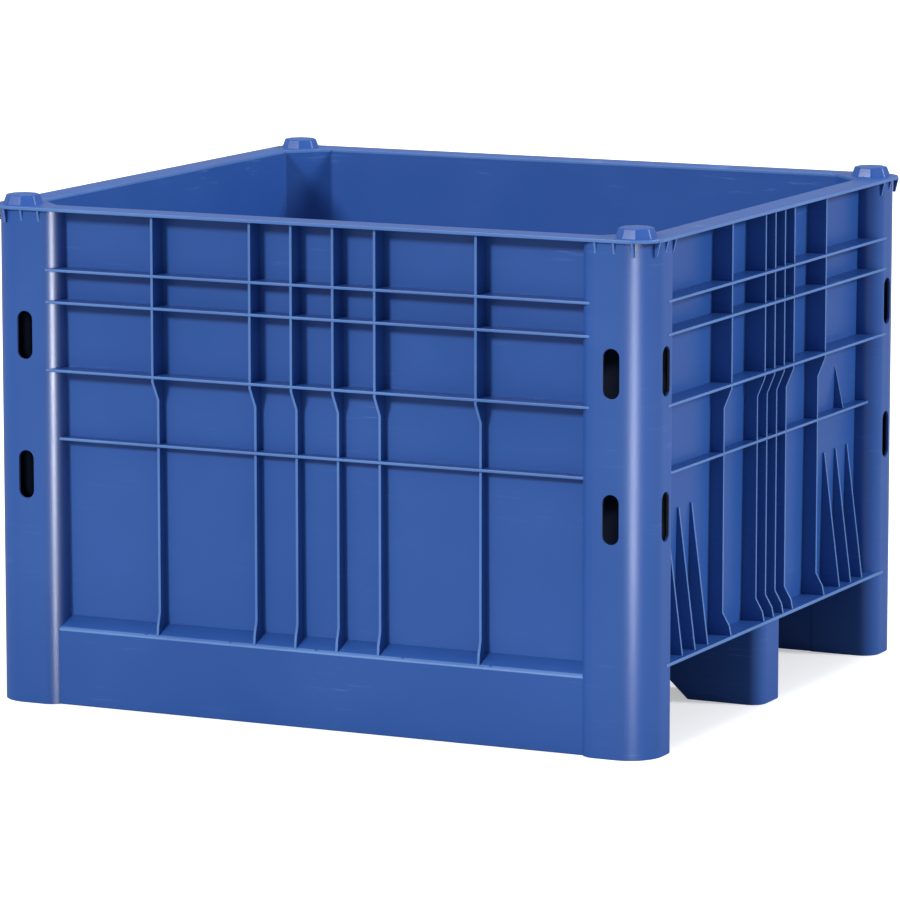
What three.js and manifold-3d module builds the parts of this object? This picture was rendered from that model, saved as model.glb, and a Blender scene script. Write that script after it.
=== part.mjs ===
// Pallet box: an open bulk box moulded in one piece, standing on two runners and a row of feet.
// Millimetres, +Z up. X runs along the runners, which is the way the forks go in.
// The origin is the centre of the footprint, on the ground.
import * as THREE from 'three';
import { mergeVertices } from 'three/addons/utils/BufferGeometryUtils.js';
import Module from 'manifold-3d';

// Overall size, measured to the outer edge of the rim
const lengthX = 1200;
const widthY = 1100;
const rimTop = 830;

// Rim, a flat flange all round
const rimThickness = 6;
const rimCornerRadius = 50;
const rimToWall = 42;

// Walls and floor of the tub
const wallThickness = 6;
const wallDraft = 5;
const innerChamfer = 63;
const deckUnderside = 141;
const floorThickness = 7;

// Hollow corner posts, which are also the corner feet
const postInset = 6;
const postWidthX = 124;
const postWidthY = 112;
const postWall = 5;
const postCornerRadius = 55;
const postEdgeRadius = 30;
const postInnerRadius = 12;

// Upright slots in the post faces
const slotWidth = 28;
const slotHeight = 80;
const slotFromPostCorner = 66;
const slotCentreHeights = [385, 617];

// Stacking knobs on the rim corners, eight-sided with sloping sides
const knobInset = 48;
const knobBaseWidth = 65;
const knobTopWidth = 52;
const knobHeight = 16;
const knobWall = 5;
const knobSides = 8;

// Small fins that hold the rim on each post face
const finHeight = 22;
const finThickness = 4;
const finDistances = [30, 62, 94];

// Bars that run round the walls, given by the height of their lower faces
const barThickness = 5;
const deepBarHeights = [558, 671, 724];
const shallowBarHeight = 443;
const longBarInset = 8;
const endBarInset = 5;
const barOntoPost = 40;

// Upright ribs, deep above the lowest deep bar and shallow below it
const ribThickness = 5;
const ribInset = 9;
const shallowDepth = 20;
const longRibShallowDepth = 14;
const ribTaperHeight = 32;
const ribFlareHeight = 37;
const endRibFlareInset = 7;
// The flare at a rib's foot has one corner, at these shares of its depth and height
const flareCornerDepth = 0.8;
const flareCornerHeight = 0.43;
const longRibPitch = 75;
const longOuterGap = 179;
const endRibPitch = 41.5;
const endOuterRib = 203;

// Ledge at the foot of the end walls, and the pointed gussets that stand on it
const ledgeInset = 5;
const ledgeThickness = 6;
const gussetHeight = 230;
const gussetThickness = 5;
const gussetFromPost = 41;
const gussetPitch = 52;
const gussetCount = 3;
const gussetInset = 12;

// Runners under the long walls, open underneath
const runnerInset = 18;
const runnerWall = 5;
const runnerShoulder = 10;
const runnerShoulderRun = 4;
const runnerWebPitch = 160;

// Row of feet along the middle, open underneath
const footInset = 18;
const footWidth = 96;
const footWall = 5;
const footEdgeRadius = 25;
const endFootLength = 132;
const middleFootLength = 120;
const footSlopeRun = 155;
const footInnerRadius = 1;

// How far one solid runs into another where they join, and past a face that it cuts
const bite = 3;
const overcut = 5;
const arcSteps = 5;

// Points closer than this are one point
const mergeDistance = 1e-4;
const cornerMatchDistance = 1e-3;

// Heights and distances that follow from the sizes above
const rimUnderside = rimTop - rimThickness;
const floorTop = deckUnderside + floorThickness;
const ledgeTop = deckUnderside + ledgeThickness;
const postFarX = postInset + postWidthX;
const postFarY = postInset + postWidthY;
const ribRoot = rimToWall + wallDraft + wallThickness / 2;
const shallowInset = rimToWall - shallowDepth;
const lowestDeepBar = Math.min(...deepBarHeights);

const wasm = await Module();
wasm.setup();

// Turn a closed three.js geometry into a solid that can be joined and cut
function solid(geometry) {
  const bare = geometry.index ? geometry.toNonIndexed() : geometry.clone();
  bare.deleteAttribute('normal');
  bare.deleteAttribute('uv');
  const merged = mergeVertices(bare, mergeDistance);
  const mesh = new wasm.Mesh({
    numProp: 3,
    vertProperties: new Float32Array(merged.attributes.position.array),
    triVerts: new Uint32Array(merged.index.array),
  });
  return new wasm.Manifold(mesh);
}

function join(solids) {
  return solids.reduce((sum, next) => sum.add(next));
}

function geometryOf(body) {
  const mesh = body.getMesh();
  const geometry = new THREE.BufferGeometry();
  geometry.setAttribute('position', new THREE.BufferAttribute(new Float32Array(mesh.vertProperties), 3));
  geometry.setIndex(new THREE.BufferAttribute(new Uint32Array(mesh.triVerts), 1));
  geometry.computeVertexNormals();
  return geometry;
}

function box(x0, x1, y0, y1, z0, z1) {
  const geometry = new THREE.BoxGeometry(x1 - x0, y1 - y0, z1 - z0);
  geometry.translate((x0 + x1) / 2, (y0 + y1) / 2, (z0 + z1) / 2);
  return geometry;
}

// A flat outline in the XY plane, raised from z0 to z1
function prism(shape, z0, z1) {
  const geometry = new THREE.ExtrudeGeometry(shape, { depth: z1 - z0, bevelEnabled: false, curveSegments: arcSteps });
  geometry.translate(0, 0, z0);
  return geometry;
}

// An outline drawn outwards (shape x) and upwards (shape y), as thick as given, centred at x = along
function upright(points, along, thickness) {
  const shape = new THREE.Shape(points.map(([out, up]) => new THREE.Vector2(out, up)));
  const geometry = new THREE.ExtrudeGeometry(shape, { depth: thickness, bevelEnabled: false });
  const basis = new THREE.Matrix4().makeBasis(
    new THREE.Vector3(0, -1, 0),
    new THREE.Vector3(0, 0, 1),
    new THREE.Vector3(-1, 0, 0),
  );
  geometry.applyMatrix4(basis);
  geometry.translate(along + thickness / 2, 0, 0);
  return geometry;
}

// A rectangle with four corner radii, in the order low-low, high-low, high-high, low-high
function roundedRectangle(x0, x1, y0, y1, radii) {
  const [a, b, c, d] = radii;
  const shape = new THREE.Shape();
  shape.moveTo(x0 + a, y0);
  shape.lineTo(x1 - b, y0);
  shape.absarc(x1 - b, y0 + b, b, -Math.PI / 2, 0, false);
  shape.lineTo(x1, y1 - c);
  shape.absarc(x1 - c, y1 - c, c, 0, Math.PI / 2, false);
  shape.lineTo(x0 + d, y1);
  shape.absarc(x0 + d, y1 - d, d, Math.PI / 2, Math.PI, false);
  shape.lineTo(x0, y0 + a);
  shape.absarc(x0 + a, y0 + a, a, Math.PI, 1.5 * Math.PI, false);
  return shape;
}

// A rectangle with its four corners cut off
function chamferedRectangle(halfX, halfY, chamfer) {
  return [
    [halfX, -halfY + chamfer], [halfX, halfY - chamfer],
    [halfX - chamfer, halfY], [-halfX + chamfer, halfY],
    [-halfX, halfY - chamfer], [-halfX, -halfY + chamfer],
    [-halfX + chamfer, -halfY], [halfX - chamfer, -halfY],
  ].map(([x, y]) => new THREE.Vector2(x, y));
}

// A block whose outline changes from one polygon to another as it rises
function taperedBlock(lower, z0, upper, z1) {
  const geometry = new THREE.ExtrudeGeometry(new THREE.Shape(lower), { depth: z1 - z0, bevelEnabled: false });
  const position = geometry.attributes.position;
  for (let i = 0; i < position.count; i += 1) {
    if (position.getZ(i) > (z1 - z0) / 2) {
      const corner = lower.findIndex((p) => Math.hypot(p.x - position.getX(i), p.y - position.getY(i)) < cornerMatchDistance);
      position.setXY(i, upper[corner].x, upper[corner].y);
    }
  }
  geometry.translate(0, 0, z0);
  return geometry;
}

// The tub's outline at a height, moved in from the wall's outer face by a thickness
function tubOutline(height, thickness) {
  const lean = wallDraft * (rimTop - height) / (rimTop - deckUnderside);
  const inset = rimToWall + thickness + lean;
  const chamfer = innerChamfer + (wallThickness - thickness) * (2 - Math.SQRT2);
  return chamferedRectangle(lengthX / 2 - inset, widthY / 2 - inset, chamfer);
}

function tubBlock() {
  return solid(taperedBlock(tubOutline(deckUnderside, 0), deckUnderside, tubOutline(rimTop, 0), rimTop));
}

function tubCavity() {
  const top = rimTop + overcut;
  return solid(taperedBlock(tubOutline(floorTop, wallThickness), floorTop, tubOutline(top, wallThickness), top));
}

function rimPlate() {
  const radii = Array(4).fill(rimCornerRadius);
  const shape = roundedRectangle(-lengthX / 2, lengthX / 2, -widthY / 2, widthY / 2, radii);
  return solid(prism(shape, rimUnderside, rimTop));
}

// The four corners, each given by the signs of its x and y
const corners = [[1, -1], [1, 1], [-1, 1], [-1, -1]];

// A block of the post's plan at one corner, moved in all round by a thickness
function postBlock([signX, signY], thickness, z0, z1) {
  const near = postInset + thickness;
  const farX = postFarX - thickness;
  const farY = postFarY - thickness;
  const outer = postCornerRadius - thickness;
  const edge = postEdgeRadius - thickness;
  const inner = postInnerRadius - thickness;
  const shape = roundedRectangle(lengthX / 2 - farX, lengthX / 2 - near, -widthY / 2 + near, -widthY / 2 + farY,
    [edge, outer, edge, inner]);
  const body = solid(prism(shape, z0, z1));
  return body.scale([1, -signY, 1]).scale([signX, 1, 1]);
}

function postHollow(corner, tub) {
  return postBlock(corner, postWall, -overcut, rimUnderside).subtract(tub);
}

// One knob at a corner of the rim, or the hollow under it
function knob([signX, signY], thickness, z0, z1) {
  const acrossFlatsToRadius = 1 / (2 * Math.cos(Math.PI / knobSides));
  const base = (knobBaseWidth - 2 * thickness) * acrossFlatsToRadius;
  const top = (knobTopWidth - 2 * thickness) * acrossFlatsToRadius;
  const geometry = new THREE.CylinderGeometry(top, base, z1 - z0, knobSides);
  geometry.rotateY(Math.PI / knobSides);
  geometry.rotateX(Math.PI / 2);
  geometry.translate(signX * (lengthX / 2 - knobInset), signY * (widthY / 2 - knobInset), (z0 + z1) / 2);
  return solid(geometry);
}

// The four walls. Each is built as the front wall is, facing -Y, and then turned into place.
const longRibs = [-1, 1].flatMap((sign) => [
  sign * 0.5 * longRibPitch,
  sign * 1.5 * longRibPitch,
  sign * (1.5 * longRibPitch + longOuterGap),
]);
const endRibs = [-1, 1].flatMap((sign) => [sign * 0.5 * endRibPitch, sign * 1.5 * endRibPitch, sign * endOuterRib]);
const longSide = {
  halfOut: widthY / 2, halfAlong: lengthX / 2, ribs: longRibs, barInset: longBarInset,
  ribBase: deckUnderside - runnerShoulder, flareInset: runnerInset + runnerShoulderRun / 2,
  ribShallowInset: rimToWall - longRibShallowDepth, postFar: postFarX,
};
const endSide = {
  halfOut: lengthX / 2, halfAlong: widthY / 2, ribs: endRibs, barInset: endBarInset,
  ribBase: ledgeTop, flareInset: endRibFlareInset, ribShallowInset: shallowInset, postFar: postFarY,
};
const walls = [
  { turn: 0, ...longSide },
  { turn: Math.PI / 2, ...endSide },
  { turn: Math.PI, ...longSide },
  { turn: 1.5 * Math.PI, ...endSide },
];

function turned(wall, geometries) {
  return geometries.map((geometry) => solid(geometry.rotateZ(wall.turn)));
}

function bars(wall) {
  const reach = wall.halfAlong - wall.postFar + barOntoPost;
  const bar = (inset, z) => box(-reach, reach, -wall.halfOut + inset, -wall.halfOut + ribRoot, z, z + barThickness);
  const deep = deepBarHeights.map((z) => bar(wall.barInset, z));
  return turned(wall, [...deep, bar(shallowInset, shallowBarHeight)]);
}

function ribs(wall) {
  const out = (inset) => wall.halfOut - inset;
  const taperTop = lowestDeepBar - barThickness;
  const halfFlare = wall.ribShallowInset + flareCornerDepth * (wall.flareInset - wall.ribShallowInset);
  const outline = [
    [out(ribRoot), wall.ribBase - bite],
    [out(wall.flareInset), wall.ribBase - bite],
    [out(wall.flareInset), wall.ribBase],
    [out(halfFlare), wall.ribBase + flareCornerHeight * ribFlareHeight],
    [out(wall.ribShallowInset), wall.ribBase + ribFlareHeight],
    [out(wall.ribShallowInset), taperTop - ribTaperHeight],
    [out(ribInset), taperTop],
    [out(ribInset), rimUnderside + bite],
    [out(ribRoot), rimUnderside + bite],
  ];
  return turned(wall, wall.ribs.map((along) => upright(outline, along, ribThickness)));
}

function finsOnPosts(wall) {
  const root = postInset + postWall;
  const outline = [
    [wall.halfOut - root, rimUnderside - finHeight],
    [wall.halfOut - postInset, rimUnderside - finHeight],
    [wall.halfOut, rimUnderside],
    [wall.halfOut, rimUnderside + bite],
    [wall.halfOut - root, rimUnderside + bite],
  ];
  const places = finDistances.flatMap((distance) => [-1, 1].map((sign) => sign * (wall.halfAlong - postInset - distance)));
  return turned(wall, places.map((along) => upright(outline, along, finThickness)));
}

function ledge(wall) {
  const reach = wall.halfAlong - wall.postFar + barOntoPost;
  const inner = -wall.halfOut + ribRoot;
  return turned(wall, [box(-reach, reach, -wall.halfOut + ledgeInset, inner, deckUnderside, ledgeTop)]);
}

function gussets(wall) {
  const out = (inset) => wall.halfOut - inset;
  const outline = [
    [out(ribRoot), ledgeTop - bite],
    [out(gussetInset), ledgeTop - bite],
    [out(gussetInset), ledgeTop],
    [out(rimToWall), ledgeTop + gussetHeight],
    [out(ribRoot), ledgeTop + gussetHeight],
  ];
  const places = [];
  for (let i = 0; i < gussetCount; i += 1) {
    const along = wall.halfAlong - wall.postFar - gussetFromPost - i * gussetPitch;
    places.push(along, -along);
  }
  return turned(wall, places.map((along) => upright(outline, along, gussetThickness)));
}

// A runner's section, drawn outwards and upwards, with a sloping shoulder up to the wall
function runner(wall) {
  const out = (inset) => wall.halfOut - inset;
  const shoulderFoot = deckUnderside - runnerShoulder;
  const outline = [
    [out(postFarY), 0],
    [out(runnerInset), 0],
    [out(runnerInset), shoulderFoot - runnerShoulderRun],
    [out(runnerInset + runnerShoulderRun), shoulderFoot],
    [out(rimToWall + wallDraft), ledgeTop],
    [out(ribRoot), ledgeTop],
    [out(ribRoot), deckUnderside + bite],
    [out(postFarY), deckUnderside + bite],
  ];
  const span = 2 * (wall.halfAlong - wall.postFar + postEdgeRadius);
  return turned(wall, [upright(outline, 0, span)]);
}

// The bays under a runner, between cross webs
function runnerBays(wall) {
  const bayLimit = wall.halfAlong - wall.postFar;
  const count = Math.round((2 * bayLimit) / runnerWebPitch);
  const pitch = (2 * bayLimit) / count;
  const roof = deckUnderside - runnerShoulder - runnerShoulderRun;
  const bays = [];
  for (let i = 0; i < count; i += 1) {
    const start = -bayLimit + i * pitch;
    bays.push(box(start + runnerWall / 2, start + pitch - runnerWall / 2, -wall.halfOut + runnerInset + runnerWall,
      -wall.halfOut + postFarY - runnerWall, -overcut, roof));
  }
  return turned(wall, bays);
}

// Slots through both outer faces of the posts, with half-round ends
function slots(wall) {
  const radius = slotWidth / 2;
  const straight = slotHeight / 2 - radius;
  const cutters = [];
  for (const height of slotCentreHeights) {
    for (const sign of [-1, 1]) {
      const along = sign * (wall.halfAlong - postInset - slotFromPostCorner);
      const shape = new THREE.Shape();
      shape.absarc(0, straight, radius, 0, Math.PI, false);
      shape.absarc(0, -straight, radius, Math.PI, 2 * Math.PI, false);
      const depth = postWall + 2 * overcut;
      const geometry = new THREE.ExtrudeGeometry(shape, { depth, bevelEnabled: false, curveSegments: arcSteps });
      geometry.rotateX(Math.PI / 2);
      geometry.translate(along, -wall.halfOut + postInset + postWall + overcut, height);
      cutters.push(geometry);
    }
  }
  return turned(wall, cutters);
}

// A foot of the middle row: a side outline in X and Z, cut to a plan with rounded upright edges
function foot(outline, plan) {
  const profile = new THREE.Shape(outline.map(([x, z]) => new THREE.Vector2(x, z)));
  const side = new THREE.ExtrudeGeometry(profile, { depth: footWidth + 2 * overcut, bevelEnabled: false });
  side.rotateX(Math.PI / 2);
  side.translate(0, footWidth / 2 + overcut, 0);
  return solid(side).intersect(solid(prism(plan, -2 * overcut, deckUnderside + 2 * bite)));
}

// The foot under an end wall, with a sloping inner end, or its hollow when a thickness is given
function endFoot(sign, thickness) {
  const outer = lengthX / 2 - footInset;
  const slope = footSlopeRun / deckUnderside;
  const offset = thickness * Math.hypot(1, slope);
  const inner = outer - endFootLength + offset;
  const z0 = thickness > 0 ? -overcut : 0;
  const z1 = thickness > 0 ? deckUnderside : deckUnderside + bite;
  const face = outer - thickness;
  const half = footWidth / 2 - thickness;
  const radius = footEdgeRadius - thickness;
  const outline = [[inner - slope * z0, z0], [face, z0], [face, z1], [inner - slope * z1, z1]];
  const plan = roundedRectangle(0, face, -half, half, [footInnerRadius, radius, radius, footInnerRadius]);
  return foot(outline, plan).scale([sign, 1, 1]);
}

function middleFoot(thickness) {
  const slope = footSlopeRun / deckUnderside;
  const half = middleFootLength / 2 - thickness * Math.hypot(1, slope);
  const z0 = thickness > 0 ? -overcut : 0;
  const z1 = thickness > 0 ? deckUnderside : deckUnderside + bite;
  const low = half + slope * z0;
  const high = half + slope * z1;
  const side = footWidth / 2 - thickness;
  const outline = [[-low, z0], [low, z0], [high, z1], [-high, z1]];
  return foot(outline, roundedRectangle(-high, high, -side, side, Array(4).fill(footInnerRadius)));
}

function palletBoxSolid() {
  const tub = tubBlock();
  const longWalls = [walls[0], walls[2]];
  const endWalls = [walls[1], walls[3]];
  const material = join([
    tub,
    rimPlate(),
    ...corners.map((corner) => postBlock(corner, 0, 0, rimUnderside + bite)),
    ...corners.map((corner) => knob(corner, 0, rimTop - bite, rimTop + knobHeight)),
    ...walls.flatMap(bars),
    ...walls.flatMap(ribs),
    ...walls.flatMap(finsOnPosts),
    ...endWalls.flatMap(ledge),
    ...endWalls.flatMap(gussets),
    ...longWalls.flatMap(runner),
    endFoot(1, 0),
    endFoot(-1, 0),
    middleFoot(0),
  ]);
  const space = join([
    tubCavity(),
    ...corners.map((corner) => postHollow(corner, tub)),
    ...corners.map((corner) => knob(corner, knobWall, rimUnderside - bite, rimTop + knobHeight - knobWall)),
    ...longWalls.flatMap(runnerBays),
    ...walls.flatMap(slots),
    endFoot(1, footWall),
    endFoot(-1, footWall),
    middleFoot(footWall),
  ]);
  return material.subtract(space);
}

const plastic = new THREE.MeshStandardMaterial({ name: 'blue_polyethylene', color: 0x2b5fb0, roughness: 0.45, metalness: 0 });
const body = new THREE.Mesh(geometryOf(palletBoxSolid()), plastic);
body.name = 'pallet_box_body';

const palletBox = new THREE.Group();
palletBox.name = 'pallet_box';
palletBox.add(body);

export default palletBox;
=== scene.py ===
import math

import bmesh
import bpy
from mathutils import Matrix, Vector


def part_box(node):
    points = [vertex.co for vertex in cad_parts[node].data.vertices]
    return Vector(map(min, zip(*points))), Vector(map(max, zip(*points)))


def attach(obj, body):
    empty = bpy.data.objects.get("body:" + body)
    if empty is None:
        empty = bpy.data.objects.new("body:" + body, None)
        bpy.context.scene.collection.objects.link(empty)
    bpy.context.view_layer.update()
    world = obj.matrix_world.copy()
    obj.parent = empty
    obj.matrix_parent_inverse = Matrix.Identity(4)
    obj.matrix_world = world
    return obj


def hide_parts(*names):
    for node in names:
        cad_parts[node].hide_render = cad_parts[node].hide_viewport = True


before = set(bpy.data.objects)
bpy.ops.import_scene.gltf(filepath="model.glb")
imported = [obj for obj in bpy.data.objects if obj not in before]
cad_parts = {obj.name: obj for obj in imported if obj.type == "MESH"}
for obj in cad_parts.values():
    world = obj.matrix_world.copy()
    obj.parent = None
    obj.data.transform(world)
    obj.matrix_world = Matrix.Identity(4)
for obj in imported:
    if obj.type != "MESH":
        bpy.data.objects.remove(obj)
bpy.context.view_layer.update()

# Sizes of the box in metres, measured inwards from the outer edge of the rim
box_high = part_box("pallet_box_body")[1]
half_x = box_high.x
half_y = box_high.y
knob_height = 0.016
rim_top = box_high.z - knob_height
rim_thickness = 0.006
rim_underside = rim_top - rim_thickness
rim_radius = 0.050
rim_to_wall = 0.042
rim_lip = 0.0005
wall_thickness = 0.006
wall_draft = 0.005
tub_chamfer = 0.0665
inner_corner_radius = 0.006
deck_underside = 0.141
bite = 0.003

# Corner posts
post_inset = 0.006
post_far_x = 0.130
post_far_y = 0.118
post_wall = 0.005
post_corner_radius = 0.055
post_edge_radius = 0.030
post_inner_radius = 0.012
slot_width = 0.028
slot_height = 0.080
slot_from_edge = 0.072
slot_heights = [0.385, 0.617]
slot_end_roundness = 0.98

# Knobs on the rim corners
knob_inset = 0.048
knob_base_width = 0.065
knob_top_width = 0.052
knob_sides = 8

# Bars, ribs, fins and gussets on the walls
bar_thickness = 0.005
deep_bar_heights = [0.558, 0.671, 0.724]
shallow_bar_height = 0.443
shallow_inset = 0.022
bar_onto_post = 0.040
rib_thickness = 0.005
rib_root = 0.0475
rib_inset = 0.009
rib_taper_height = 0.032
rib_flare_height = 0.037
flare_corner_depth = 0.8
flare_corner_height = 0.43
fin_inset = 0.001
fin_height = 0.022
fin_thickness = 0.004
fin_places = [0.036, 0.068, 0.100]
gusset_height = 0.230
gusset_inset = 0.012
gusset_root = 0.050
gusset_thickness = 0.005
gusset_places = [0.041, 0.093, 0.145]
spike_thickness = 0.003
spike_height = 0.075
spike_place = 0.335
spike_from_bar_front = 0.006
spike_lean = 0.016
spike_sunk = 0.001
ledge_inset = 0.005
ledge_thickness = 0.006
ledge_top = deck_underside + ledge_thickness

# Runners and feet
runner_inset = 0.018
runner_wall = 0.005
runner_shoulder = 0.010
runner_shoulder_run = 0.004
runner_clear_of_post = 0.0015
runner_bays = 6
web_clear_of_ground = 0.001
foot_inset = 0.018
foot_half_width = 0.048
foot_wall = 0.005
foot_edge_radius = 0.025
end_foot_length = 0.132
middle_foot_half = 0.060
foot_slope_run = 0.155

# Edge rounding
large_edge = 0.0025
runner_edge = 0.004
small_edge = 0.0013
smooth_angle = math.radians(38)

# When two places count as the same, and two directions as parallel
same_place = 1e-4
parallel = 0.9

# The two kinds of wall, each modelled facing -Y with its ribs placed along X
long_wall = {
    "half_out": half_y,
    "half_along": half_x,
    "bar_inset": 0.008,
    "ribs": [-0.2915, -0.1125, -0.0375, 0.0375, 0.1125, 0.2915],
    "rib_base": deck_underside - runner_shoulder,
    "flare_inset": runner_inset + runner_shoulder_run / 2,
    "rib_shallow_inset": 0.028,
    "post_far": post_far_x,
}
end_wall = {
    "half_out": half_x,
    "half_along": half_y,
    "bar_inset": 0.005,
    "ribs": [-0.203, -0.06225, -0.02075, 0.02075, 0.06225, 0.203],
    "rib_base": ledge_top,
    "flare_inset": 0.007,
    "rib_shallow_inset": shallow_inset,
    "post_far": post_far_y,
}


# Modelling steps that several pieces use

def select_only(piece):
    bpy.ops.object.select_all(action="DESELECT")
    piece.select_set(True)
    bpy.context.view_layer.objects.active = piece


def block(name, x0, x1, y0, y1, z0, z1):
    """A block with its faces at these places, kept in its mesh."""
    bpy.ops.object.select_all(action="DESELECT")
    middle = ((x0 + x1) / 2, (y0 + y1) / 2, (z0 + z1) / 2)
    bpy.ops.mesh.primitive_cube_add(size=1, location=middle)
    piece = bpy.context.active_object
    piece.name = name
    piece.scale = (x1 - x0, y1 - y0, z1 - z0)
    bpy.ops.object.transform_apply(location=True, rotation=True, scale=True)
    return piece


def edit(piece):
    select_only(piece)
    bpy.ops.object.mode_set(mode="EDIT")
    bpy.ops.mesh.select_all(action="DESELECT")


def leave_edit():
    bpy.ops.object.mode_set(mode="OBJECT")


def pick(piece, kind, rule):
    """Select the verts, edges or faces whose middle passes the rule, and nothing else."""
    mode = {"verts": "VERT", "edges": "EDGE", "faces": "FACE"}[kind]
    bpy.ops.mesh.select_mode(type=mode)
    bpy.ops.mesh.select_all(action="DESELECT")
    mesh = bmesh.from_edit_mesh(piece.data)
    for part in getattr(mesh, kind):
        if kind == "verts":
            chosen = rule(part.co)
        elif kind == "edges":
            start, end = (corner.co for corner in part.verts)
            chosen = rule((start + end) / 2, (end - start).normalized())
        else:
            chosen = rule(part.calc_center_median(), part.normal)
        part.select_set(chosen)
    mesh.select_flush_mode()
    bmesh.update_edit_mesh(piece.data)


def upright(direction):
    return abs(direction.z) > parallel


def round_upright_edge(piece, x, y, radius, segments=10):
    pick(piece, "edges", lambda middle, along: upright(along)
         and abs(middle.x - x) < same_place and abs(middle.y - y) < same_place)
    bpy.ops.mesh.bevel(offset=radius, segments=segments, profile=0.5, affect="EDGES")


def slice_at(height):
    """Cut the piece in edit mode at a height, and keep both parts."""
    bpy.ops.mesh.select_all(action="SELECT")
    bpy.ops.mesh.bisect(plane_co=(0, 0, height), plane_no=(0, 0, 1))


def move_outer(piece, height, outer, inset_change):
    """Move the front corners at one height inwards, by the change of inset."""
    pick(piece, "verts", lambda point: abs(point.z - height) < same_place
         and abs(point.y - outer) < same_place)
    bpy.ops.transform.translate(value=(0, inset_change, 0))


def apply_modifier(piece, kind, **settings):
    select_only(piece)
    modifier = piece.modifiers.new(kind.lower(), kind)
    for setting, value in settings.items():
        setattr(modifier, setting, value)
    bpy.ops.object.modifier_apply(modifier=modifier.name)


def cut_away(piece, cutter):
    apply_modifier(piece, "BOOLEAN", operation="DIFFERENCE", object=cutter, solver="EXACT")
    bpy.data.objects.remove(cutter)


def round_edges(piece, width, segments=2):
    apply_modifier(piece, "BEVEL", width=width, segments=segments, limit_method="ANGLE",
                   angle_limit=smooth_angle, use_clamp_overlap=True)


def mark_wear_and_highlight_edges(piece, rule):
    """Mark the narrow edge faces to be painted paler, partly as handling wear and partly as a painted
    highlight, for the plastic's colour to follow.
    """
    worn = piece.data.attributes.new("wear_and_highlight_edge", "FLOAT", "CORNER")
    for face in piece.data.polygons:
        for corner in face.loop_indices:
            worn.data[corner].value = 1.0 if rule(face.center, face.normal) else 0.0


def faces_front(centre, normal):
    return normal.y < -0.4


def copy_of(piece, name):
    twin = piece.copy()
    twin.data = piece.data.copy()
    twin.name = name
    bpy.context.scene.collection.objects.link(twin)
    return twin


def mirrored(piece, name, sign_x, sign_y):
    twin = copy_of(piece, name)
    twin.data.transform(Matrix.Diagonal((sign_x, sign_y, 1, 1)))
    if sign_x * sign_y < 0:
        twin.data.flip_normals()
    return twin


def turned(piece, name, angle):
    twin = copy_of(piece, name)
    twin.data.transform(Matrix.Rotation(angle, 4, "Z"))
    return twin


def joined(pieces, name):
    select_only(pieces[0])
    for piece in pieces:
        piece.select_set(True)
    bpy.ops.object.join()
    pieces[0].name = name
    return pieces[0]


# Tub

def tub_block(name, inset, low, high):
    """The chamfered and slightly tapered form of the tub, moved in from the wall's outer face."""
    reach_x = half_x - rim_to_wall - inset
    reach_y = half_y - rim_to_wall - inset
    piece = block(name, -reach_x, reach_x, -reach_y, reach_y, low, high)
    edit(piece)
    pick(piece, "edges", lambda middle, along: upright(along))
    chamfer = tub_chamfer - inset * (2 - math.sqrt(2))
    bpy.ops.mesh.bevel(offset=chamfer, segments=1, affect="EDGES")
    pick(piece, "verts", lambda point: point.z < (low + high) / 2)
    shrink = wall_draft * (rim_top - low) / (rim_top - deck_underside)
    bpy.ops.transform.resize(value=(1 - shrink / reach_x, 1 - shrink / reach_y, 1),
                             center_override=(0, 0, low))
    leave_edit()
    return piece


def tub():
    piece = tub_block("tub", 0, deck_underside, rim_underside + bite)
    edit(piece)
    pick(piece, "edges", lambda middle, along: upright(along))
    bpy.ops.mesh.bevel(offset=inner_corner_radius, segments=3, profile=0.5, affect="EDGES")
    pick(piece, "faces", lambda middle, normal: normal.z > parallel)
    bpy.ops.mesh.delete(type="FACE")
    pick(piece, "edges", lambda middle, along: middle.z < deck_underside + same_place)
    bpy.ops.mesh.bevel(offset=inner_corner_radius, segments=3, profile=0.5, affect="EDGES")
    leave_edit()
    apply_modifier(piece, "SOLIDIFY", thickness=wall_thickness, offset=-1, use_even_offset=True)
    return piece


# Rim and knobs

def rim():
    piece = block("rim", -half_x, half_x, -half_y, half_y, rim_underside, rim_top)
    edit(piece)
    for x in (-half_x, half_x):
        for y in (-half_y, half_y):
            round_upright_edge(piece, x, y, rim_radius)
    leave_edit()
    inset = wall_thickness + rim_lip
    cut_away(piece, tub_block("rim_opening", inset, rim_underside - bite, rim_top + bite))
    round_edges(piece, small_edge)
    # The rim's edges are marked for the paler colour, wear with a painted highlight
    mark_wear_and_highlight_edges(piece, lambda centre, normal: abs(normal.z) < parallel)
    return piece


def knob():
    """The knob at the corner of +X and -Y."""
    across_to_radius = 0.5 / math.cos(math.pi / knob_sides)
    bpy.ops.object.select_all(action="DESELECT")
    sunk = rim_top - bite
    bpy.ops.mesh.primitive_cone_add(
        vertices=knob_sides,
        radius1=knob_base_width * across_to_radius,
        radius2=knob_top_width * across_to_radius,
        depth=knob_height + bite,
        location=(0, 0, (sunk + rim_top + knob_height) / 2),
        rotation=(0, 0, math.pi / knob_sides),
    )
    piece = bpy.context.active_object
    piece.name = "knob"
    bpy.ops.object.transform_apply(location=True, rotation=True, scale=True)
    round_edges(piece, large_edge, 3)
    piece.data.transform(Matrix.Translation((half_x - knob_inset, -half_y + knob_inset, 0)))
    return piece


# Corner posts

def post_block(name, inset, low, high):
    """The post's plan at the corner of +X and -Y, moved in all round."""
    near_x = half_x - post_inset - inset
    far_x = half_x - post_far_x + inset
    near_y = -half_y + post_inset + inset
    far_y = -half_y + post_far_y - inset
    piece = block(name, far_x, near_x, near_y, far_y, low, high)
    edit(piece)
    round_upright_edge(piece, near_x, near_y, post_corner_radius - inset)
    round_upright_edge(piece, far_x, near_y, post_edge_radius - inset)
    round_upright_edge(piece, near_x, far_y, post_edge_radius - inset)
    round_upright_edge(piece, far_x, far_y, post_inner_radius - inset)
    leave_edit()
    return piece


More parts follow.
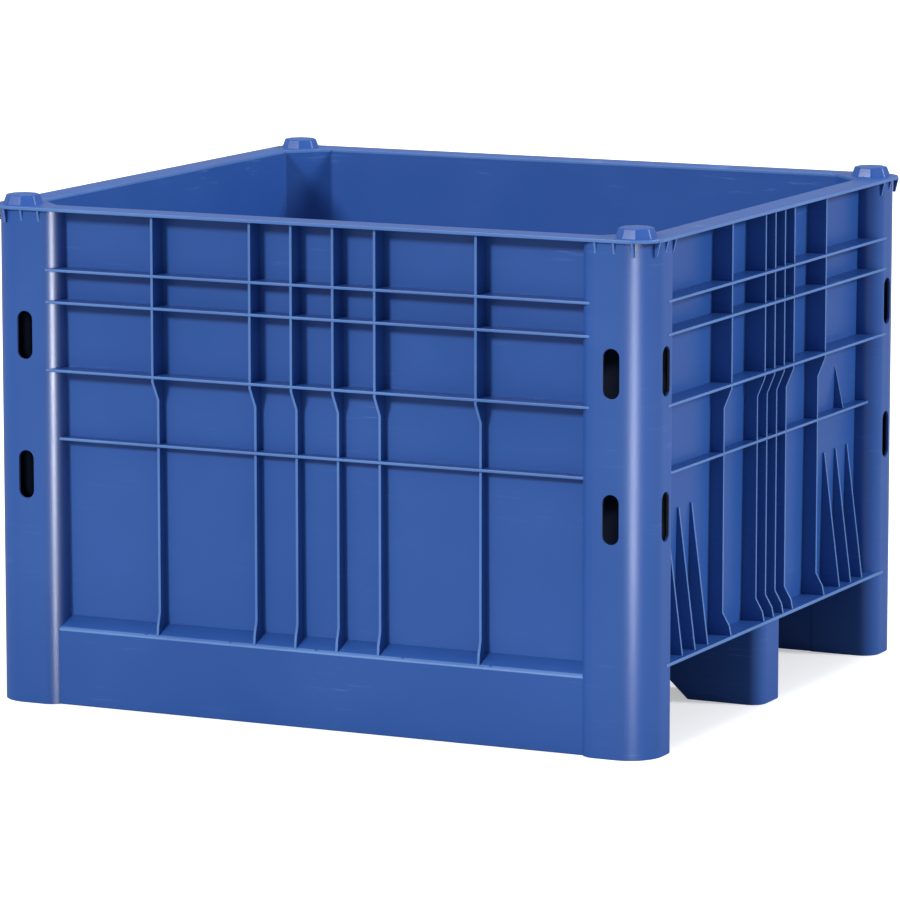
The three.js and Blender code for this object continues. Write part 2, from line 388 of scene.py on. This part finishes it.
def slot_cutter(x, y, height, through_y):
    """A block with half-round ends, long enough to pass through one wall of a post."""
    reach = 3 * post_wall
    half = slot_width / 2
    if through_y:
        piece = block("slot", x - half, x + half, y - reach, y + reach,
                      height - slot_height / 2, height + slot_height / 2)
    else:
        piece = block("slot", x - reach, x + reach, y - half, y + half,
                      height - slot_height / 2, height + slot_height / 2)
    edit(piece)
    axis = 1 if through_y else 0
    pick(piece, "edges", lambda middle, along: abs(along[axis]) > parallel)
    bpy.ops.mesh.bevel(offset=half * slot_end_roundness, segments=8, profile=0.5, affect="EDGES")
    leave_edit()
    return piece


def corner_post():
    piece = post_block("corner_post", 0, 0, rim_underside + bite)
    cut_away(piece, post_block("post_hollow", post_wall, -bite, rim_underside))
    cut_away(piece, tub_block("tub_space", wall_thickness / 2, deck_underside + bite, rim_top))
    for height in slot_heights:
        cut_away(piece, slot_cutter(half_x - slot_from_edge, -half_y + post_inset, height, True))
        cut_away(piece, slot_cutter(half_x - post_inset, -half_y + slot_from_edge, height, False))
    round_edges(piece, small_edge)
    return piece


# Bars and ribs of one wall

def bar(wall, name, inset, height):
    reach = wall["half_along"] - wall["post_far"] + bar_onto_post
    front = -wall["half_out"]
    piece = block(name, -reach, reach, front + inset, front + rib_root, height, height + bar_thickness)
    round_edges(piece, small_edge)
    mark_wear_and_highlight_edges(piece, faces_front)
    return piece


def rib(wall):
    """An upright rib, flared at its foot, shallow to the lowest deep bar and deep above it."""
    outer = -wall["half_out"] + rib_inset
    taper_top = min(deep_bar_heights) - bar_thickness
    base = wall["rib_base"]
    flare_middle = base + flare_corner_height * rib_flare_height
    flare_top = base + rib_flare_height
    piece = block("rib", -rib_thickness / 2, rib_thickness / 2, outer, -wall["half_out"] + rib_root,
                  base - bite, rim_underside + bite)
    edit(piece)
    for height in (base, flare_middle, flare_top, taper_top - rib_taper_height, taper_top):
        slice_at(height)
    shallow = wall["rib_shallow_inset"]
    middle_inset = shallow + flare_corner_depth * (wall["flare_inset"] - shallow)
    places = [
        (base - bite, wall["flare_inset"]),
        (base, wall["flare_inset"]),
        (flare_middle, middle_inset),
        (flare_top, shallow),
        (taper_top - rib_taper_height, shallow),
    ]
    for height, inset in places:
        move_outer(piece, height, outer, inset - rib_inset)
    leave_edit()
    round_edges(piece, small_edge)
    mark_wear_and_highlight_edges(piece, faces_front)
    return piece


def fin(wall):
    """A small fin under the rim on a post face."""
    outer = -wall["half_out"] + fin_inset
    low = rim_underside - fin_height
    piece = block("fin", -fin_thickness / 2, fin_thickness / 2, outer,
                  -wall["half_out"] + post_inset + post_wall, low, rim_underside + bite)
    edit(piece)
    move_outer(piece, low, outer, post_inset)
    leave_edit()
    round_edges(piece, small_edge / 2)
    mark_wear_and_highlight_edges(piece, faces_front)
    return piece


def gusset(wall):
    """A pointed gusset that stands on the ledge of an end wall."""
    outer = -wall["half_out"] + gusset_inset
    top = ledge_top + gusset_height
    piece = block("gusset", -gusset_thickness / 2, gusset_thickness / 2, outer,
                  -wall["half_out"] + gusset_root, ledge_top - bite, top)
    edit(piece)
    move_outer(piece, top, outer, rim_to_wall - gusset_inset)
    leave_edit()
    round_edges(piece, small_edge)
    mark_wear_and_highlight_edges(piece, faces_front)
    return piece


def along_wall(pattern, places):
    """Copies of a pattern at places along X. The pattern itself isn't kept."""
    copies = []
    for place in places:
        twin = copy_of(pattern, pattern.name + "_copy")
        twin.data.transform(Matrix.Translation((place, 0, 0)))
        copies.append(twin)
    bpy.data.objects.remove(pattern)
    return copies


def wall_ribbing(wall, name):
    parts = [bar(wall, "bar", wall["bar_inset"], height) for height in deep_bar_heights]
    parts.append(bar(wall, "bar", shallow_inset, shallow_bar_height))
    parts += along_wall(rib(wall), wall["ribs"])
    fin_along = [sign * (wall["half_along"] - place) for place in fin_places for sign in (-1, 1)]
    parts += along_wall(fin(wall), fin_along)
    return joined(parts, name)


def spike(wall):
    """A slim pointed rib that stands on the shallow bar near one end of an end wall."""
    low = shallow_bar_height + bar_thickness - spike_sunk
    outer = -wall["half_out"] + shallow_inset + spike_from_bar_front
    piece = block("spike", -spike_thickness / 2, spike_thickness / 2, outer,
                  -wall["half_out"] + rib_root, low, low + spike_height)
    edit(piece)
    move_outer(piece, low + spike_height, outer, spike_lean)
    leave_edit()
    round_edges(piece, small_edge / 2)
    mark_wear_and_highlight_edges(piece, faces_front)
    return piece


def end_foot_details(wall, name):
    """The ledge and gussets along the foot of an end wall."""
    reach = wall["half_along"] - wall["post_far"] + bar_onto_post
    front = -wall["half_out"]
    ledge = block("ledge", -reach, reach, front + ledge_inset, front + rib_root, deck_underside, ledge_top)
    round_edges(ledge, small_edge)
    mark_wear_and_highlight_edges(ledge, faces_front)
    bay_end = wall["half_along"] - wall["post_far"]
    places = [sign * (bay_end - place) for place in gusset_places for sign in (-1, 1)]
    spikes = along_wall(spike(wall), [spike_place])
    return joined([ledge] + along_wall(gusset(wall), places) + spikes, name)


# Runners and feet

def runner(wall, name):
    """A runner with a sloping shoulder, open underneath, with webs across it."""
    front = -wall["half_out"]
    outer = front + runner_inset
    back = front + post_far_y - runner_clear_of_post
    reach = wall["half_along"] - wall["post_far"] + post_edge_radius
    piece = block(name, -reach, reach, outer, back, 0, ledge_top)
    edit(piece)
    shoulder_foot = deck_underside - runner_shoulder
    for height in (shoulder_foot - runner_shoulder_run, shoulder_foot):
        slice_at(height)
    move_outer(piece, shoulder_foot, outer, runner_shoulder_run)
    move_outer(piece, ledge_top, outer, rim_to_wall + wall_draft - runner_inset)
    pick(piece, "faces", lambda middle, normal: normal.z < -parallel)
    bpy.ops.mesh.delete(type="FACE")
    leave_edit()
    apply_modifier(piece, "SOLIDIFY", thickness=runner_wall, offset=-1, use_even_offset=True)
    round_edges(piece, runner_edge, 3)
    # The runner's top front edge is marked for the paler colour, wear with a painted highlight
    mark_wear_and_highlight_edges(piece, lambda centre, normal: centre.y < outer + 2 * runner_edge
                    and normal.z > 0.15)
    web = block("web", -runner_wall / 2, runner_wall / 2, outer + runner_wall / 2, back - runner_wall / 2,
                web_clear_of_ground, shoulder_foot)
    bay_end = wall["half_along"] - wall["post_far"]
    places = [-bay_end + index * 2 * bay_end / runner_bays for index in range(1, runner_bays)]
    return joined([piece] + along_wall(web, places), name)


def hollow_foot(piece, name):
    edit(piece)
    pick(piece, "faces", lambda middle, normal: normal.z < -parallel)
    bpy.ops.mesh.delete(type="FACE")
    leave_edit()
    apply_modifier(piece, "SOLIDIFY", thickness=foot_wall, offset=-1, use_even_offset=True)
    round_edges(piece, small_edge)
    piece.name = name
    return piece


def end_foot():
    """The foot under the end wall at +X, with a sloping inner end."""
    outer = half_x - foot_inset
    inner = outer - end_foot_length
    piece = block("end_foot", inner, outer, -foot_half_width, foot_half_width, 0, deck_underside + bite)
    edit(piece)
    for side in (-foot_half_width, foot_half_width):
        round_upright_edge(piece, outer, side, foot_edge_radius)
    pick(piece, "verts", lambda point: point.z > deck_underside
         and abs(point.x - inner) < same_place)
    bpy.ops.transform.translate(value=(-foot_slope_run, 0, 0))
    leave_edit()
    return hollow_foot(piece, "end_foot_right")


def middle_foot():
    piece = block("middle_foot", -middle_foot_half, middle_foot_half, -foot_half_width, foot_half_width,
                  0, deck_underside + bite)
    edit(piece)
    for side in (-1, 1):
        pick(piece, "verts", lambda point: point.z > deck_underside and point.x * side > 0)
        bpy.ops.transform.translate(value=(side * foot_slope_run, 0, 0))
    leave_edit()
    return hollow_foot(piece, "middle_foot")


# Materials

scratch_scale = (9.0, 9.0, 160.0)
scuffs_under_rim = 1.5
rim_scuffs_low = 0.045
rim_scuffs_high = 0.010
# Paler colour of the marked edges: handling wear together with a painted highlight
wear_and_highlight_edge_colour = (0.115, 0.245, 0.55, 1)
floor_to_box = (0.40, 0.40, 0.41, 1)
floor_to_camera = (0.93, 0.93, 0.94, 1)
floor_glow = 0.45


def new_group(name, inputs, outputs):
    """A shader node group with number inputs and outputs, and its two end nodes."""
    group = bpy.data.node_groups.new(name, "ShaderNodeTree")
    for label, default in inputs:
        socket = group.interface.new_socket(name=label, in_out="INPUT", socket_type="NodeSocketFloat")
        socket.default_value = default
    for label in outputs:
        group.interface.new_socket(name=label, in_out="OUTPUT", socket_type="NodeSocketFloat")
    return group, group.nodes.new("NodeGroupInput"), group.nodes.new("NodeGroupOutput")


def math_node(tree, operation, first, second):
    """A Math node on two values, each a number or another node's output."""
    node = tree.nodes.new("ShaderNodeMath")
    node.operation = operation
    for socket, value in zip(node.inputs, (first, second)):
        if isinstance(value, (int, float)):
            socket.default_value = value
        else:
            tree.links.new(value, socket)
    return node.outputs["Value"]


def noise_node(tree, place, scale, detail=4.0, roughness=0.5):
    node = tree.nodes.new("ShaderNodeTexNoise")
    node.inputs["Detail"].default_value = detail
    node.inputs["Roughness"].default_value = roughness
    tree.links.new(place, node.inputs["Vector"])
    if isinstance(scale, (int, float)):
        node.inputs["Scale"].default_value = scale
    else:
        tree.links.new(scale, node.inputs["Scale"])
    return node.outputs["Fac"]


def range_node(tree, value, low, high, out_low=0.0, out_high=1.0):
    """A value between low and high, carried over to between out_low and out_high."""
    node = tree.nodes.new("ShaderNodeMapRange")
    node.inputs["From Min"].default_value = low
    node.inputs["From Max"].default_value = high
    node.inputs["To Min"].default_value = out_low
    node.inputs["To Max"].default_value = out_high
    tree.links.new(value, node.inputs["Value"])
    return node.outputs["Result"]


def moulded_grain():
    """Soft clouding of the colour and the fine uneven skin of moulded plastic."""
    inputs = [("Cloud Scale", 3.0), ("Skin Scale", 260.0)]
    group, given, result = new_group("moulded_grain", inputs, ["Cloud", "Skin"])
    place = group.nodes.new("ShaderNodeTexCoord").outputs["Object"]
    cloud = noise_node(group, place, given.outputs["Cloud Scale"], detail=5.0, roughness=0.55)
    skin = noise_node(group, place, given.outputs["Skin Scale"], detail=3.0, roughness=0.6)
    group.links.new(range_node(group, cloud, low=0.3, high=0.7), result.inputs["Cloud"])
    group.links.new(skin, result.inputs["Skin"])
    return group


def scuffing():
    """Fine scratches that run along the piece in patches, with more of them close under the rim."""
    inputs = [("Amount", 0.5), ("Amount Under Rim", 0.0)]
    group, given, result = new_group("scuffing", inputs, ["Scuff"])
    place = group.nodes.new("ShaderNodeTexCoord").outputs["Object"]
    stretch = group.nodes.new("ShaderNodeMapping")
    stretch.inputs["Scale"].default_value = scratch_scale
    group.links.new(place, stretch.inputs["Vector"])
    streaks = noise_node(group, stretch.outputs["Vector"], scale=1.0, detail=6.0, roughness=0.65)
    patches = noise_node(group, place, scale=6.0, detail=3.0, roughness=0.5)
    fine = range_node(group, streaks, low=0.60, high=0.74)
    broad = range_node(group, patches, low=0.48, high=0.68)
    both = math_node(group, "MULTIPLY", fine, broad)
    split = group.nodes.new("ShaderNodeSeparateXYZ")
    group.links.new(place, split.inputs["Vector"])
    high = range_node(group, split.outputs["Z"], rim_top - rim_scuffs_low, rim_top - rim_scuffs_high)
    rim_share = math_node(group, "MULTIPLY", high, given.outputs["Amount Under Rim"])
    amount = math_node(group, "ADD", given.outputs["Amount"], rim_share)
    group.links.new(math_node(group, "MULTIPLY", both, amount), result.inputs["Scuff"])
    return group


def colour_mix(tree, factor, first, second):
    """A mix of two colours, each a colour or another node's output."""
    node = tree.nodes.new("ShaderNodeMix")
    node.data_type = "RGBA"
    # The colour sockets share their names with the number sockets, so they go by index
    factor_in, first_in, second_in = (node.inputs[index] for index in (0, 6, 7))
    colour_out = node.outputs[2]
    tree.links.new(factor, factor_in)
    for socket, value in ((first_in, first), (second_in, second)):
        if isinstance(value, tuple):
            socket.default_value = value
        else:
            tree.links.new(value, socket)
    return colour_out


def plastic(name, grain, scuffs, deep, light, edge_colour, scuff_colour, scuff_amount, roughness):
    """Clouded plastic between two colours, paler on marked edges as wear and a painted highlight, and along
    scuffs.
    """
    material = bpy.data.materials.new(name)
    material.use_nodes = True
    tree = material.node_tree
    shader = tree.nodes["Principled BSDF"]
    grain_node = tree.nodes.new("ShaderNodeGroup")
    grain_node.node_tree = grain
    scuff_node = tree.nodes.new("ShaderNodeGroup")
    scuff_node.node_tree = scuffs
    scuff_node.inputs["Amount"].default_value = scuff_amount
    scuff_node.inputs["Amount Under Rim"].default_value = scuffs_under_rim
    clouded = colour_mix(tree, grain_node.outputs["Cloud"], deep, light)
    # Marked edges get the paler colour, wear with a painted highlight
    wear_and_highlight_edge = tree.nodes.new("ShaderNodeAttribute")
    wear_and_highlight_edge.attribute_name = "wear_and_highlight_edge"
    edge_share = range_node(tree, grain_node.outputs["Cloud"], 0, 1, 0.45, 0.85)
    edge = math_node(tree, "MULTIPLY", wear_and_highlight_edge.outputs["Fac"], edge_share)
    body = colour_mix(tree, edge, clouded, edge_colour)
    scuffed = colour_mix(tree, scuff_node.outputs["Scuff"], body, scuff_colour)
    tree.links.new(scuffed, shader.inputs["Base Color"])
    uneven = range_node(tree, grain_node.outputs["Cloud"], 0, 1, roughness - 0.05, roughness + 0.05)
    worn = math_node(tree, "MULTIPLY", scuff_node.outputs["Scuff"], 0.25)
    tree.links.new(math_node(tree, "ADD", uneven, worn), shader.inputs["Roughness"])
    bump = tree.nodes.new("ShaderNodeBump")
    bump.inputs["Strength"].default_value = 0.12
    bump.inputs["Distance"].default_value = 0.0006
    tree.links.new(grain_node.outputs["Skin"], bump.inputs["Height"])
    tree.links.new(bump.outputs["Normal"], shader.inputs["Normal"])
    shader.inputs["Specular IOR Level"].default_value = 0.30
    return material


def pale_floor():
    """A pale floor that throws less light back on the box than it shows."""
    material = bpy.data.materials.new("pale_floor")
    material.use_nodes = True
    tree = material.node_tree
    shader = tree.nodes["Principled BSDF"]
    shader.inputs["Roughness"].default_value = 0.9
    shader.inputs["Specular IOR Level"].default_value = 0.0
    seen = tree.nodes.new("ShaderNodeLightPath").outputs["Is Camera Ray"]
    colour = colour_mix(tree, seen, floor_to_box, floor_to_camera)
    tree.links.new(colour, shader.inputs["Base Color"])
    shader.inputs["Emission Color"].default_value = (1, 1, 1, 1)
    tree.links.new(math_node(tree, "MULTIPLY", seen, floor_glow), shader.inputs["Emission Strength"])
    return material


def paint_shade_in_post_hollow(piece, material):
    """Paint shade on the inside of a post: its inward faces get the near-black plastic, standing in for the
    shade of the hollow.
    """
    piece.data.materials.append(material)
    corners_x = [point.co.x for point in piece.data.vertices]
    corners_y = [point.co.y for point in piece.data.vertices]
    axis = Vector(((min(corners_x) + max(corners_x)) / 2, (min(corners_y) + max(corners_y)) / 2, 0))
    for face in piece.data.polygons:
        inwards = axis - face.center
        inwards.z = 0
        if face.normal.dot(inwards.normalized()) > 0.3:
            face.material_index = 1


def paint_shade_behind_posts(piece, material):
    """Paint shade the same way on the outer side of the tub's cut corners, which the posts close in."""
    piece.data.materials.append(material)
    for face in piece.data.polygons:
        outwards = Vector((math.copysign(1, face.center.x), math.copysign(1, face.center.y), 0)).normalized()
        if face.normal.dot(outwards) > 0.95:
            face.material_index = 1


# Build the box

grain_group = moulded_grain()
scuff_group = scuffing()
wall_plastic = plastic(
    "blue_plastic", grain_group, scuff_group,
    deep=(0.020, 0.080, 0.31, 1), light=(0.026, 0.094, 0.345, 1), edge_colour=wear_and_highlight_edge_colour,
    scuff_colour=(0.15, 0.27, 0.60, 1), scuff_amount=0.35, roughness=0.38)
rim_plastic = plastic(
    "worn_blue_plastic", grain_group, scuff_group,
    deep=(0.022, 0.084, 0.32, 1), light=(0.030, 0.102, 0.365, 1), edge_colour=wear_and_highlight_edge_colour,
    scuff_colour=(0.16, 0.29, 0.62, 1), scuff_amount=0.9, roughness=0.36)
# Near-black plastic that paints the shade inside and behind the posts
painted_shade_plastic = plastic(
    "painted_shade_blue_plastic", grain_group, scuff_group,
    deep=(0.003, 0.008, 0.028, 1), light=(0.004, 0.011, 0.036, 1),
    edge_colour=(0.004, 0.011, 0.036, 1), scuff_colour=(0.006, 0.014, 0.045, 1),
    scuff_amount=0.2, roughness=0.9)

first_knob = knob()
first_post = corner_post()
front_ribbing = wall_ribbing(long_wall, "front_ribbing")
end_ribbing = wall_ribbing(end_wall, "end_ribbing")
end_details = end_foot_details(end_wall, "end_details")
front_runner = runner(long_wall, "front_runner")
right_foot = end_foot()

box_pieces = [
    tub(),
    front_ribbing,
    turned(front_ribbing, "rear_ribbing", math.pi),
    turned(end_ribbing, "right_ribbing", math.pi / 2),
    turned(end_ribbing, "left_ribbing", -math.pi / 2),
    turned(end_details, "right_ledge", math.pi / 2),
    turned(end_details, "left_ledge", -math.pi / 2),
    front_runner,
    turned(front_runner, "rear_runner", math.pi),
    right_foot,
    mirrored(right_foot, "end_foot_left", -1, 1),
    middle_foot(),
]
worn_pieces = [rim()]
corners = [("near", 1, -1), ("right", 1, 1), ("rear", -1, 1), ("left", -1, -1)]
for corner, sign_x, sign_y in corners:
    box_pieces.append(mirrored(first_post, corner + "_post", sign_x, -sign_y))
    worn_pieces.append(mirrored(first_knob, corner + "_knob", sign_x, -sign_y))
for pattern in (first_knob, first_post, end_ribbing, end_details):
    bpy.data.objects.remove(pattern)

for piece in box_pieces + worn_pieces:
    select_only(piece)
    bpy.ops.object.shade_smooth_by_angle(angle=smooth_angle)
    apply_modifier(piece, "WEIGHTED_NORMAL", keep_sharp=True)
    piece.data.materials.clear()
    piece.data.materials.append(wall_plastic if piece in box_pieces else rim_plastic)
    # Painted shade in the post hollows and behind the posts
    if piece.name.endswith("_post"):
        paint_shade_in_post_hollow(piece, painted_shade_plastic)
    if piece.name == "tub":
        paint_shade_behind_posts(piece, painted_shade_plastic)
    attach(piece, "root")
    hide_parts("pallet_box_body")

# Studio

bpy.ops.object.select_all(action="DESELECT")
bpy.ops.mesh.primitive_plane_add(size=120, location=(0, 0, 0))
floor = bpy.context.active_object
floor.name = "studio_floor"
floor.data.materials.append(pale_floor())


def sun(name, direction, strength, softness):
    """A soft distant light that shines from the given direction."""
    data = bpy.data.lights.new(name, "SUN")
    data.energy = strength
    data.angle = math.radians(softness)
    lamp = bpy.data.objects.new(name, data)
    bpy.context.scene.collection.objects.link(lamp)
    lamp.rotation_euler = Vector(direction).to_track_quat("Z", "Y").to_euler()


sun("left_front_light", direction=(-0.26, -0.86, 0.42), strength=2.3, softness=10)
sun("right_light", direction=(0.95, 0.22, 0.40), strength=2.3, softness=12)
sun("top_light", direction=(-0.10, 0.10, 1.0), strength=1.4, softness=40)


# Strip lights for the posts alone, because they would glare on the rim and the knobs
strip_width = 0.35
strip_height = 0.76
strip_place = (1.4, -1.9, 0.42)
posts = bpy.data.collections.new("posts")
for corner, sign_x, sign_y in corners:
    posts.objects.link(bpy.data.objects[corner + "_post"])


def edge_strip(name, turn, beam, energy):
    """A tall strip, turned in degrees from facing +Y, that shows only as a reflection on rounded edges."""
    data = bpy.data.lights.new(name, "AREA")
    data.shape = "RECTANGLE"
    data.size = strip_width
    data.size_y = strip_height
    data.spread = math.radians(beam)
    data.energy = energy
    lamp = bpy.data.objects.new(name, data)
    bpy.context.scene.collection.objects.link(lamp)
    lamp.location = strip_place
    lamp.rotation_euler = (math.radians(90), 0, math.radians(turn))
    lamp.visible_diffuse = False
    lamp.visible_camera = False
    lamp.light_linking.receiver_collection = posts


edge_strip("near_post_strip", turn=41, beam=40, energy=5)
edge_strip("left_post_strip", turn=55, beam=30, energy=6.5)

world = bpy.data.worlds.new("studio")
world.use_nodes = True
background = world.node_tree.nodes["Background"]
background.inputs["Color"].default_value = (0.95, 0.96, 1.0, 1)
background.inputs["Strength"].default_value = 0.40
bpy.context.scene.world = world
bpy.context.scene.view_settings.view_transform = "Standard"

# Camera at the photograph's viewing angle, from a fit

camera_place = (4.072, -8.528, 1.867)
camera_below_level = 8.918
camera_heading = 25.59

camera_data = bpy.data.cameras.new("photo_camera")
camera_data.sensor_width = 36
camera_data.lens = 225.2
camera_data.clip_end = 200
camera = bpy.data.objects.new("photo_camera", camera_data)
bpy.context.scene.collection.objects.link(camera)
camera.location = camera_place
camera.rotation_euler = (math.radians(90 - camera_below_level), 0, math.radians(camera_heading))
bpy.context.scene.camera = camera
